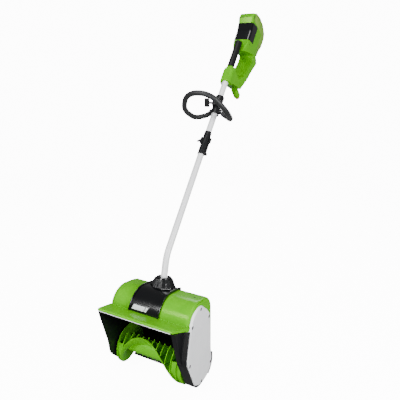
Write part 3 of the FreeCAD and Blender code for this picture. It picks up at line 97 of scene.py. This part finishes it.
plastics = {
    # housing and grip shells: fresh lime, polished, with a yellow-green glint
    "limeMouldedAbs": {"colour": "#5AAE00", "shade": "#52A600", "glint": "#D8FF80",
                       "roughness": 0.22, "specular": 0.18, "grainMm": 1.2, "heightMm": 0.012},
    # rotor: the same lime, a little duller
    "rotorMouldedAbs": {"colour": "#5CB400", "shade": "#52A800", "glint": "#D8FF80",
                        "roughness": 0.28, "specular": 0.2, "grainMm": 2.0, "heightMm": 0.008},
    # chute, clamps and levers: near black, satin, textured
    "blackMouldedAbs": {"colour": "#0C0D0F", "shade": "#101113",
                        "roughness": 0.38, "specular": 0.32, "grainMm": 0.9, "heightMm": 0.04},
    # saddle, shaft socket and front panel: piano black with sharp, slightly wavy reflections
    "polishedBlackAbs": {"colour": "#060709", "shade": "#08090B",
                         "roughness": 0.17, "specular": 0.5, "grainMm": 6.0, "heightMm": 0.006},
    # drive cover: cool white, satin
    "whiteMouldedAbs": {"colour": "#F2F3F5", "shade": "#EDEEF1",
                        "roughness": 0.36, "specular": 0.4, "grainMm": 1.2, "heightMm": 0.02},
    # battery case: paler, greyer green, matt
    "paleGreenMouldedAbs": {"colour": "#76A638", "shade": "#6D9C32",
                            "roughness": 0.42, "specular": 0.3, "grainMm": 0.9, "heightMm": 0.04},
    # push button: signal red, glossy
    "redMouldedAbs": {"colour": "#D3201C", "shade": "#C81A18",
                      "roughness": 0.28, "specular": 0.5, "grainMm": 2.0, "heightMm": 0.01},
    # paint on the cover's screws, and on the rings of painted shade round them: matt black, with
    # hardly a highlight
    "mattBlackPaint": {"colour": "#060606", "shade": "#080808",
                       "roughness": 0.75, "specular": 0.1, "grainMm": 0.6, "heightMm": 0.03},
}
melt = {"flowMm": 60.0, "detail": 2.0, "distortion": 1.5, "stops": (0.3, 0.6), "spread": 0.04}


def moulded(name, look):
    # injection moulded plastic: its colour drifts slowly along the melt's flow, from the shade to
    # the colour, under a soft highlight and a faint grain
    surface = {"Base Color": linearColour(look["colour"]), "IOR": 1.53,
               "Specular IOR Level": look["specular"],
               "Specular Tint": linearColour(look.get("glint", "#FFFFFF"))}
    material, tree, shader = newMaterial(name, surface)
    spot = grain(tree, shader, look["grainMm"], look["heightMm"], look["roughness"],
                 melt["spread"])
    flow = addNode(tree, "ShaderNodeTexNoise",
                   {"Scale": 1000 / melt["flowMm"], "Detail": melt["detail"],
                    "Distortion": melt["distortion"]}, spot)
    shades = addNode(tree, "ShaderNodeValToRGB", links={"Fac": flow.outputs["Fac"]})
    steps = zip(shades.color_ramp.elements, ("shade", "colour"), melt["stops"])
    for step, colour, stop in steps:
        step.color = linearColour(look[colour])
        step.position = stop
    tree.links.new(shades.outputs["Color"], shader.inputs["Base Color"])
    return material


rubber = {"IOR": 1.5, "Specular IOR Level": 0.25}
metal = {"Metallic": 1.0}
# colour, other sockets, and the grain: its size and height in mm, the roughness and its spread
plainFinishes = {
    # powder coat on the steel tubes: pale grey satin, with a slight orange peel
    "powderCoatedSteel": ("#F0F1F3", {"IOR": 1.5}, (2.5, 0.03, 0.30, 0.04)),
    # closed cell foam sleeve: dark grey, dry, with a soft sheen and small open pores
    "nitrileFoam": ("#1E1F20", {"IOR": 1.45, "Sheen Weight": 0.08, "Sheen Roughness": 0.5},
                    (1.1, 0.25, 0.5, 0.05)),
    # soft overmould on the grip: almost black, matt, with a leather-like grain
    "softGripRubber": ("#0B0B0C", rubber, (1.6, 0.12, 0.55, 0.05)),
    # moulded rubber of the belt and of the strip on the head: black and dull
    "beltRubber": ("#101010", rubber, (1.0, 0.12, 0.6, 0.05)),
    # zinc plated steel: cool grey metal, lightly brushed
    "zincPlatedSteel": ("#B9BBBE", metal, (0.8, 0.02, 0.34, 0.08)),
    # die cast aluminium: pale, slightly rough metal
    "dieCastAluminium": ("#A9ABAD", metal, (1.5, 0.05, 0.48, 0.06)),
    # black oxide steel screws: dark metal with a dull oily shine
    "blackOxideSteel": ("#3A3B3D", metal, (0.8, 0.02, 0.42, 0.06)),
    # stamped brass contacts: warm yellow metal with a rolled, lightly rubbed face
    "stampedBrass": ("#C9A35A", metal, (0.8, 0.01, 0.3, 0.06)),
}


def plainFinish(name, colour, sockets, grainOf):
    # one colour under a grain
    surface = {"Base Color": linearColour(colour), **sockets}
    material, tree, shader = newMaterial(name, surface)
    grain(tree, shader, *grainOf)
    return material


# size and depth of the flutes, and the two colours of the painted shade that follows them
flute = {"mm": 6.0, "strength": 0.6, "depth": 0.0004, "paintedShades": ("#D2D6D8", "#F2F3F3")}


def flutedLens(name):
    # moulded polycarbonate window over a pale reflector: glossy, with upright flutes in its coat,
    # and painted shade from grey to white that follows them. A wave texture repeats every 2 pi /
    # (20 x scale) metres along X
    surface = {"Base Color": linearColour("#E2E4E4"), "IOR": 1.58, "Coat Weight": 0.6}
    material, tree, shader = newMaterial(name, surface)
    spot = grain(tree, shader, 3.0, 0.01, 0.14, 0.03)
    wave = addNode(tree, "ShaderNodeTexWave",
                   {"Scale": 2 * math.pi / 20 / (flute["mm"] / 1000)}, spot)
    bump = addNode(tree, "ShaderNodeBump",
                   {"Strength": flute["strength"], "Distance": flute["depth"]},
                   {"Height": wave.outputs["Fac"]})
    tree.links.new(bump.outputs["Normal"], shader.inputs["Coat Normal"])
    # painted shade: grey and white painted into the colour, following the flutes' wave
    paintedFluteShade = addNode(tree, "ShaderNodeValToRGB", links={"Fac": wave.outputs["Fac"]})
    for step, colour in zip(paintedFluteShade.color_ramp.elements, flute["paintedShades"]):
        step.color = linearColour(colour)
    tree.links.new(paintedFluteShade.outputs["Color"], shader.inputs["Base Color"])
    return material


materials = {name: moulded(name, look) for name, look in plastics.items()}
materials |= {name: plainFinish(name, *look) for name, look in plainFinishes.items()}
materials["flutedPolycarbonate"] = flutedLens("flutedPolycarbonate")
print("materials made:", len(materials))


finishes = {
    "limeMouldedAbs": ("upper_housing", "handle_shell_left", "handle_shell_right", "power_pod"),
    "rotorMouldedAbs": ("rotor_core", "rotor_paddles"),
    "blackMouldedAbs": ("chute", "side_wall_left", "side_wall_right", "scraper_blade",
                        "rotor_pulley", "bearing_cap", "drive_case", "coupler_sleeve",
                        "coupler_knob", "coupler_lever", "handle_clamp_left",
                        "handle_clamp_right", "handle_knob", "trigger", "lock_button",
                        "battery_release"),
    "polishedBlackAbs": ("motor_cover", "shaft_socket", "front_panel"),
    "whiteMouldedAbs": ("headlamp_board", "drive_cover"),
    "paleGreenMouldedAbs": ("battery_pack",),
    "redMouldedAbs": ("power_button",),
    "mattBlackPaint": ("cover_screws",),
    "powderCoatedSteel": ("lower_tube", "upper_tube", "loop_bar"),
    "nitrileFoam": ("loop_grip",),
    "softGripRubber": ("grip_sleeve",),
    "beltRubber": ("drive_belt",),
    "zincPlatedSteel": ("scraper_screws", "rotor_shaft", "rotor_nut", "rotor_bearings",
                        "bearing_cap_screws", "motor", "motor_shaft", "lever_pin",
                        "handle_nut", "handle_screws", "trigger_pin"),
    "dieCastAluminium": ("motor_bracket", "motor_pulley"),
    "stampedBrass": ("battery_terminals",),
    "flutedPolycarbonate": ("headlamp_lens",),
}
smoothing = {"weldDistance": 0.00001, "hardEdgeDegrees": 32}


def smoothNode(piece):
    # joins the loose triangles, keeps the hard edges and smooths the rest
    piece.data.polygons.foreach_set("use_smooth", np.full(len(piece.data.polygons), True))
    weld = piece.modifiers.new("weld", "WELD")
    weld.merge_threshold = smoothing["weldDistance"]
    split = piece.modifiers.new("split", "EDGE_SPLIT")
    split.split_angle = math.radians(smoothing["hardEdgeDegrees"])
    split.use_edge_sharp = False


for finish, names in finishes.items():
    for piece in (nodes[name] for name in names):
        piece.data.materials.clear()
        piece.data.materials.append(materials[finish])
        smoothNode(piece)
print("frame nodes finished")


def addObject(name, data):
    # new data as an object in the scene
    thing = bpy.data.objects.new(name, data)
    bpy.context.scene.collection.objects.link(thing)
    return thing


def makePiece(name, points, faces, material, body=None, slot=None, smooth=True):
    # a mesh from an array of points and several arrays of faces; with a body it rides there. The
    # slot is not used
    mesh = bpy.data.meshes.new(name)
    mesh.from_pydata(points.tolist(), [], [face for block in faces for face in block.tolist()])
    mesh.materials.append(material)
    mesh.polygons.foreach_set("use_smooth", np.full(len(mesh.polygons), smooth))
    mesh.update()
    piece = addObject(name, mesh)
    if body:
        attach(piece, body)
    return piece


def gridFaces(rows, columns, closeRows, closeColumns):
    # quads of a grid of points, numbered row by row; a closed direction joins its last line to
    # its first, and a face looks towards (along its row numbers) x (along its column numbers)
    row = np.arange(rows if closeRows else rows - 1)
    column = np.arange(columns if closeColumns else columns - 1)
    r, c = np.meshgrid(row, column, indexing="ij")
    up, right = (r + 1) % rows, (c + 1) % columns
    quads = [r * columns + c, up * columns + c, up * columns + right, r * columns + right]
    return np.stack(quads, -1).reshape(-1, 4)


def cappedGrid(grid):
    # a grid closed round its columns, with both end rows closed by a fan to their middle;
    # its first row is the top one, so that its faces look outwards
    rows, columns = grid.shape[:2]
    middles = [grid[0].mean(0)[None], grid[-1].mean(0)[None]]
    points = np.concatenate([grid.reshape(-1, 3), *middles])
    this = np.arange(columns)
    other = (this + 1) % columns
    last = (rows - 1) * columns
    top = np.stack([np.full(columns, rows * columns), this, other], 1)
    under = np.stack([np.full(columns, rows * columns + 1), last + other, last + this], 1)
    return points, [gridFaces(rows, columns, False, True), top, under]


def roundTurn(steps):
    # angles once round, without the last, which is the first again
    return np.linspace(0, 2 * np.pi, steps, endpoint=False)


def turned(radius, height, turn):
    # a profile turned about the z axis: x is radius times the cosine of the angle, y is radius
    # times its sine, z the height; the radius has one value a row, or one a row and angle
    radius = radius.reshape(len(height), -1) * np.ones(len(turn))
    return np.stack([radius * np.cos(turn), radius * np.sin(turn),
                     np.repeat(height[:, None], len(turn), 1)], -1)


def placed(points, place, axis):
    # points drawn about the z axis, moved to a place with z along an axis
    third = np.array(Vector(axis).normalized())
    first = np.cross([0.0, 1.0, 0.0] if abs(third[1]) < 0.9 else [1.0, 0.0, 0.0], third)
    first /= np.linalg.norm(first)
    second = np.cross(third, first)
    return points @ np.stack([first, second, third]) + np.array(place)


def joined(parts):
    # several (points, faces) sets as one: each set's faces count on from the points before it
    points, faces, count = [], [], 0
    for some, theirs in parts:
        points.append(some)
        faces += [block + count for block in theirs]
        count += len(some)
    return np.concatenate(points), faces


def surfaceAt(node, start, direction):
    # where a straight line meets a frame node, and which way the surface faces there
    hit, place, normal, _ = nodes[node].ray_cast(Vector(start), Vector(direction))
    if not hit:
        raise ValueError("the line misses " + node)
    return np.array(place), np.array(normal)


def lineOn(node, starts, direction):
    # the points where parallel straight lines meet a frame node
    return np.array([surfaceAt(node, start, direction)[0] for start in starts])


def barAlong(path, sideways, radius, sides=12):
    # a round bar: every point of the path carries the same circle, square to the path and to a
    # fixed sideways line
    along = np.gradient(path, axis=0)
    along /= np.linalg.norm(along, axis=1)[:, None]
    across = np.cross(along, sideways)
    across /= np.linalg.norm(across, axis=1)[:, None]
    other = np.cross(across, along)
    turn = roundTurn(sides)[None, :, None]
    ring = np.cos(turn) * across[:, None] + np.sin(turn) * other[:, None]
    return cappedGrid(path[:, None] + radius * ring)


# places well clear of the object, where the straight lines to its surfaces start
clear = {"overHead": 0.6, "beforeHead": -0.3, "underLip": 0.1, "beforeHood": 0.6}
screw = {"places": ((-0.133, -0.045), (0.147, -0.025), (-0.133, 0.02), (0.1, 0.035)),
         "radius": 0.0036, "height": 0.0016, "rings": (0.62, 0.8, 0.93, 1.0), "fall": 0.6,
         "socket": 0.0016, "socketDepth": 0.0011, "socketRings": (0.5, 0.97, 1.0),
         "lobes": 6, "lobeDepth": 0.16, "steps": 48}


def screwShape():
    # domed head: height falls with the square of the radius; in its middle a star socket, whose
    # radius swings with the cosine of lobes times the angle, goes straight down to a flat floor
    turn = roundTurn(screw["steps"])
    star = screw["socket"] * (1 + screw["lobeDepth"] * np.cos(screw["lobes"] * turn))
    share = np.array(screw["rings"])
    radius = np.concatenate([np.outer(screw["socketRings"], star),
                             np.outer(screw["radius"] * share, np.ones_like(turn)),
                             [np.full_like(turn, screw["radius"])]])
    share = np.concatenate([[screw["socket"] / screw["radius"]], share])
    crown = screw["height"] * (1 - screw["fall"] * share ** 2)
    height = np.concatenate([[crown[0] - screw["socketDepth"]] * 2, crown, [-screw["height"]]])
    return cappedGrid(turned(radius, height, turn))


def makeDomeScrews():
    # screws that hold the green housing down, near its two ends, in front and behind
    points, faces = screwShape()
    heads = []
    for x, y in screw["places"]:
        where = surfaceAt("upper_housing", (x, y, clear["overHead"]), (0, 0, -1))
        heads.append((placed(points, *where), faces))
    makePiece("domeScrews", *joined(heads), materials["blackOxideSteel"], "head", "steel")


hood = {"level": 1.4225, "bar": 0.0022, "sunk": 0.0012, "steps": 10,
        "runs": (("handle_shell_left", -0.033, -0.008), ("handle_shell_right", 0.003, 0.010))}


def makeHoodSlotShades():
    # two short black bars set a little into the front edge of the hood over the battery: painted
    # shade that stands for its slots
    bars = []
    for node, left, right in hood["runs"]:
        x = np.linspace(left, right, hood["steps"])
        starts = np.stack([x, np.full_like(x, clear["beforeHood"]),
                           np.full_like(x, hood["level"])], 1)
        path = lineOn(node, starts, (0, 1, 0)) + [0, hood["sunk"], 0]
        bars.append(barAlong(path, (0, 1, 0), hood["bar"]))
    makePiece("hoodSlotShades", *joined(bars), materials["blackMouldedAbs"], "power_unit",
              "black_plastic")


lip = {"halfLength": 0.1485, "beadRadius": 0.0022, "highlightBarRadius": 0.0015, "highlightBarDrop": 0.0012,
       "probe": 0.002, "steps": 40}


def makeLip():
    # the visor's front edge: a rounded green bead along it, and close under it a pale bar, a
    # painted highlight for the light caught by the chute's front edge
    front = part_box("upper_housing")[0][1]
    across = np.linspace(-lip["halfLength"], lip["halfLength"], lip["steps"])
    start = (0, front + lip["probe"], clear["underLip"])
    edge = surfaceAt("upper_housing", start, (0, 0, 1))[0][2]
    # the second bar, pale, is a painted highlight along the chute's edge under the visor
    bars = (("lipBead", lip["beadRadius"], lip["beadRadius"], "limeMouldedAbs", "green_plastic"),
            ("lipHighlightBar", lip["highlightBarRadius"], -lip["highlightBarDrop"], "whiteMouldedAbs", "white_plastic"))
    for name, radius, rise, finish, slot in bars:
        path = np.stack([across, np.full_like(across, front + radius),
                         np.full_like(across, edge + rise)], 1)
        makePiece(name, *barAlong(path, (0, 1, 0), radius), materials[finish], "head", slot)


screwWellShade = {"places": ((-0.0546, 0.3446), (-0.1189, 0.3074), (-0.1358, 0.1614),
                     (-0.0397, 0.0267), (0.0394, 0.0592), (0.0162, 0.2755)),
          "inner": 0.0047, "outer": 0.0064, "proud": 0.00003, "thick": 0.001, "steps": 40}


def makeScrewWellShades():
    # flat black rings let into the white cover round its screws, painted shade that stands for
    # the dark of
    # their wells: an oblong section, closed round its four corners, turned about the screw
    radius = np.array([screwWellShade["inner"]] * 2 + [screwWellShade["outer"]] * 2)
    height = np.array([-screwWellShade["thick"], screwWellShade["proud"], screwWellShade["proud"], -screwWellShade["thick"]])
    ring = turned(radius, height, roundTurn(screwWellShade["steps"])).reshape(-1, 3)
    faces = [gridFaces(len(radius), screwWellShade["steps"], True, True)]
    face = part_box("drive_cover")[1][0]
    rings = [(placed(ring, (face, y, z), (1, 0, 0)), faces) for y, z in screwWellShade["places"]]
    makePiece("screwWellShades", *joined(rings), materials["mattBlackPaint"], "head",
              "black_plastic", smooth=False)


saddle = {"beadSide": 0.0612, "beadFront": -0.139, "beadBack": 0.026, "beadRadius": 0.0018,
          "beadSunk": 0.0009, "steps": 30}


def makeSaddleBeads():
    # two slim rounded beads that run over the black saddle, front to back, on the crests along
    # its edges
    beads = []
    for x in (-saddle["beadSide"], saddle["beadSide"]):
        y = np.linspace(saddle["beadFront"], saddle["beadBack"], saddle["steps"])
        starts = np.stack([np.full_like(y, x), y, np.full_like(y, clear["overHead"])], 1)
        path = lineOn("motor_cover", starts, (0, 0, -1)) - [0, 0, saddle["beadSunk"]]
        beads.append(barAlong(path, (1, 0, 0), saddle["beadRadius"]))
    makePiece("saddleBeads", *joined(beads), materials["polishedBlackAbs"], "head",
              "gloss_black")


lamp = {"corners": ((-0.0528, 0.3248), (0.0112, 0.3248), (0.0188, 0.3412), (-0.0468, 0.3412)),
        "divider": ((0.0, 0.3248), (0.006, 0.3412)),
        "bar": 0.0013, "sideways": (0, 1, 0.3), "sides": 8, "steps": 12}


def makeLampBezel():
    # a slim black frame round the lamp's window, with one upright bar across it
    corners = lamp["corners"] + lamp["corners"][:1]
    bars = []
    for start, end in (*zip(corners, corners[1:]), lamp["divider"]):
        x, z = np.linspace(start, end, lamp["steps"]).T
        starts = np.stack([x, np.full_like(x, clear["beforeHead"]), z], 1)
        path = lineOn("headlamp_lens", starts, (0, 1, 0))
        bars.append(barAlong(path, lamp["sideways"], lamp["bar"], lamp["sides"]))
    makePiece("lampBezel", *joined(bars), materials["polishedBlackAbs"], "head", "gloss_black")


heel = {"x": 0.1835, "centre": (0.001, 0.066), "radius": 0.058, "bar": 0.0046,
        "fromDegrees": -65.0, "toDegrees": 6.4, "arcSteps": 24,
        "rise": 0.018, "riseFrom": 0.15, "riseSteps": 8}


def makeHeelGuard():
    # black rubber strip behind the white cover's foot: an arc of a circle, then straight up along
    # its tangent
    turn = np.radians(np.linspace(heel["fromDegrees"], heel["toDegrees"], heel["arcSteps"]))
    circle = np.stack([np.cos(turn), np.sin(turn)], 1)
    arc = np.array(heel["centre"]) + heel["radius"] * circle
    tangent = np.array([-np.sin(turn[-1]), np.cos(turn[-1])])
    share = np.linspace(heel["riseFrom"], 1, heel["riseSteps"])
    outline = np.concatenate([arc, arc[-1] + share[:, None] * heel["rise"] * tangent])
    path = np.column_stack([np.full(len(outline), heel["x"]), outline])
    makePiece("heelGuard", *barAlong(path, (1, 0, 0), heel["bar"]), materials["beltRubber"],
              "head", "black_plastic")


makeDomeScrews()
makeHoodSlotShades()
makeLip()
makeScrewWellShades()
makeSaddleBeads()
makeLampBezel()
makeHeelGuard()
print("small pieces made")


sweep = {"innerRings": [0.4, 1.5], "floorRadius": 3.6, "curveRadius": 1.4, "wallTop": 5.0,
         "turnSteps": 96, "curveSteps": 14, "colour": "#F4F4F4", "roughness": 0.9, "glow": 12.0}


def makeSweep():
    # a round white studio that only the camera sees. Its profile of radius and height runs level
    # over the floor, up a quarter circle, up a wall, and in again as a flat ceiling
    bend = np.linspace(0, np.pi / 2, sweep["curveSteps"])
    wall = sweep["floorRadius"] + sweep["curveRadius"]
    curve = sweep["floorRadius"] + sweep["curveRadius"] * np.sin(bend)
    radius = np.concatenate((sweep["innerRings"], curve, [wall, wall / 2]))
    height = np.concatenate(([0.0, 0.0], sweep["curveRadius"] * (1 - np.cos(bend)),
                             [sweep["wallTop"]] * 2))
    points, faces = cappedGrid(turned(radius, height, roundTurn(sweep["turnSteps"])))
    surface = {"Base Color": linearColour(sweep["colour"]), "Roughness": sweep["roughness"],
               "Emission Color": (1, 1, 1, 1), "Emission Strength": sweep["glow"]}
    floor = makePiece("studioSweep", points, faces, newMaterial("mattWhitePaint", surface)[0])
    for ray in ("visible_diffuse", "visible_glossy", "visible_transmission", "visible_shadow"):
        setattr(floor, ray, False)


softBoxes = {
    "keyLight": {"place": (-0.9, -2.4, 2.7), "aim": (0, 0.1, 0.4), "size": 0.9, "power": 98.0},
    "fillLight": {"place": (2.9, -0.7, 1.2), "aim": (0, 0.2, 0.6), "size": 1.0, "power": 122.0},
    "lowLight": {"place": (0.3, -2.6, 0.35), "aim": (0, 0, 0.2), "size": 0.9, "power": 55.0},
    "topLight": {"place": (0.2, 0.2, 3.6), "aim": (0, 0.2, 0.6), "size": 1.2, "power": 36.0},
    "rimLight": {"place": (-0.6, 2.8, 1.8), "aim": (0, 0.2, 0.6), "size": 1.2, "power": 26.0},
}


def makeLight(name, place, aim, size, power):
    # a square soft box that faces the aim point
    data = bpy.data.lights.new(name, "AREA")
    data.size = size
    data.energy = power
    light = addObject(name, data)
    light.location = place
    light.rotation_euler = (Vector(aim) - Vector(place)).to_track_quat("-Z", "Y").to_euler()


room = {"colour": (1, 1, 1, 1), "strength": 0.2}


def makeRoom():
    # even white light from all round
    world = bpy.data.worlds.new("softRoom")
    world.use_nodes = True
    background = world.node_tree.nodes["Background"]
    background.inputs["Color"].default_value = room["colour"]
    background.inputs["Strength"].default_value = room["strength"]
    bpy.context.scene.world = world


view = {"lensMm": 35.07, "sensorMm": 36.0, "rollDegrees": 0.93,
        "place": (0.7099, -1.1494, 1.1050), "aim": (0.0799, 0.1441, 0.6807)}


def makeCamera():
    # stands in front, to the drive side, at about elbow height, turned a little about its own
    # line of sight
    data = bpy.data.cameras.new("camera")
    data.lens = view["lensMm"]
    data.sensor_width = view["sensorMm"]
    camera = addObject("camera", data)
    place = Vector(view["place"])
    level = (Vector(view["aim"]) - place).to_track_quat("-Z", "Y")
    roll = Matrix.Rotation(math.radians(view["rollDegrees"]), 4, "Z")
    camera.matrix_world = Matrix.Translation(place) @ level.to_matrix().to_4x4() @ roll
    bpy.context.scene.camera = camera


makeSweep()
for name, box in softBoxes.items():
    makeLight(name, **box)
makeRoom()
makeCamera()
print("sweep, lights and camera made")
